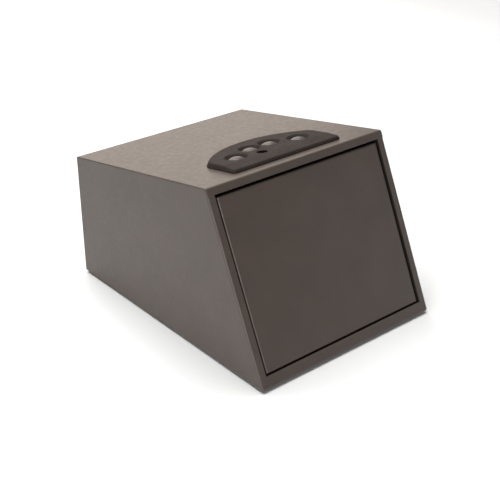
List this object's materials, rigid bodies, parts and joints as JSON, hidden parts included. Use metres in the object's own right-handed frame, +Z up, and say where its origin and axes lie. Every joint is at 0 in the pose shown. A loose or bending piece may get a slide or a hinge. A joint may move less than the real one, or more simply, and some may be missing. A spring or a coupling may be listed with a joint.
{
  "type": "quick access safe",
  "caption": "Wedge-shaped steel quick access safe with a drop-down front door, round-button keypad and key override on the sloping top, foam lining and a shelf.",
  "frame": {"origin": "middle of the footprint, on the surface that the feet stand on", "axes": "+Z up, the door faces -Y, +X to the right of someone facing the door"},
  "size_m": [0.2566, 0.3436, 0.2043],
  "materials": {
    "case_paint": "satin powder coat, warm grey brown",
    "frame_paint": "satin black powder coat",
    "zinc_steel": "bright zinc plating",
    "spring_steel": "oiled spring wire",
    "nylon": "black nylon",
    "rubber": "matt black",
    "foam": "charcoal foam",
    "pod_plastic": "fine texture, dark brown grey",
    "button_rubber": "smooth, brown grey",
    "black_plastic": "fine texture, black",
    "silicone": "matt silicone",
    "circuit_board": "green solder mask",
    "component_plastic": "moulded black",
    "lock_steel": "black chrome",
    "bolt_steel": "turned steel",
    "brass": "machined",
    "cell_jacket": "printed film, plain",
    "contact_nickel": "nickel plating",
    "cable_pvc": "smooth insulation",
    "ribbon_film": "polyester film"
  },
  "bodies": {
    "case": {"case_shell": "case_paint", "top_plate": "case_paint", "back_panel": "case_paint", "door_frame": "frame_paint", "door_bumpers": "rubber", "hinge_brackets": "frame_paint", "hinge_bushes": "nylon", "hinge_pins": "zinc_steel", "door_springs": "spring_steel", "rubber_feet": "rubber", "foot_rivets": "zinc_steel", "floor_foam": "foam", "right_foam": "foam", "left_foam": "foam", "back_foam": "foam", "shelf": "frame_paint", "shelf_foam": "foam", "shelf_brackets": "frame_paint", "keypad_housing": "pod_plastic", "keypad_seal": "rubber", "keypad_screws": "zinc_steel", "switch_mat": "silicone", "keypad_board": "circuit_board", "keypad_back_cover": "black_plastic", "keypad_ribbon": "ribbon_film", "lock_body": "lock_steel", "lock_yoke": "zinc_steel", "yoke_screws": "zinc_steel", "latch_motor": "bolt_steel", "motor_cradle": "nylon", "motor_strap": "zinc_steel", "latch_bracket": "zinc_steel", "bolt_guide": "brass", "weld_studs": "zinc_steel", "stud_nuts": "zinc_steel", "mechanism_cover": "black_plastic", "battery_tray": "black_plastic", "batteries": "cell_jacket", "battery_contacts": "contact_nickel", "control_board": "circuit_board", "board_components": "component_plastic", "wire_harness": "cable_pvc"},
    "door": {"door_panel": "case_paint", "door_stiffener": "frame_paint", "door_inner_cover": "frame_paint", "striker_tongue": "zinc_steel", "striker_rivets": "zinc_steel", "door_foam": "foam", "spring_arms": "spring_steel"},
    "button_1": {"button_1": "button_rubber"},
    "button_2": {"button_2": "button_rubber"},
    "button_3": {"button_3": "button_rubber"},
    "button_4": {"button_4": "button_rubber"},
    "bolt": {"latch_bolt": "bolt_steel"},
    "pinion": {"drive_pinion": "brass", "motor_shaft": "bolt_steel"},
    "key_core": {"lock_core": "lock_steel", "lock_cam": "zinc_steel"},
    "battery_lid": {"battery_cover": "black_plastic"}
  },
  "joints": [
    {"name": "door_hinge", "type": "hinge", "parent": "case", "child": "door", "pos_m": [0, -0.15556, 0.02128], "axis": [1, 0, 0], "range_deg": [0, 105]},
    {"name": "button_1_press", "type": "slide", "parent": "case", "child": "button_1", "axis": [0, -0.1781, -0.984], "range_m": [0, 0.0012], "stiffness_N_per_m": 800, "springref_m": -0.001},
    {"name": "button_2_press", "type": "slide", "parent": "case", "child": "button_2", "axis": [0, -0.1781, -0.984], "range_m": [0, 0.0012], "stiffness_N_per_m": 800, "springref_m": -0.001},
    {"name": "button_3_press", "type": "slide", "parent": "case", "child": "button_3", "axis": [0, -0.1781, -0.984], "range_m": [0, 0.0012], "stiffness_N_per_m": 800, "springref_m": -0.001},
    {"name": "button_4_press", "type": "slide", "parent": "case", "child": "button_4", "axis": [0, -0.1781, -0.984], "range_m": [0, 0.0012], "stiffness_N_per_m": 800, "springref_m": -0.001},
    {"name": "bolt_slide", "type": "slide", "parent": "case", "child": "bolt", "axis": [-1, 0, 0], "range_m": [0, 0.012]},
    {"name": "pinion_spin", "type": "hinge", "parent": "case", "child": "pinion", "pos_m": [0.026, -0.06401, 0.1833], "axis": [0, 0.984, -0.1781], "range_deg": [0, 110]},
    {"name": "lock_turn", "type": "hinge", "parent": "case", "child": "key_core", "pos_m": [-0.017, -0.04217, 0.18606], "axis": [0, -0.1781, -0.984], "range_deg": [0, 90]},
    {"name": "battery_cover_slide", "type": "slide", "parent": "case", "child": "battery_lid", "axis": [0, -0.984, 0.1781], "range_m": [0, 0.012]}
  ],
  "couplings": [
    {"joint": "pinion_spin", "follows": "bolt_slide", "rad_per_m": 158.73},
    {"joint": "lock_turn", "follows": "bolt_slide", "rad_per_m": 130.8}
  ]
}
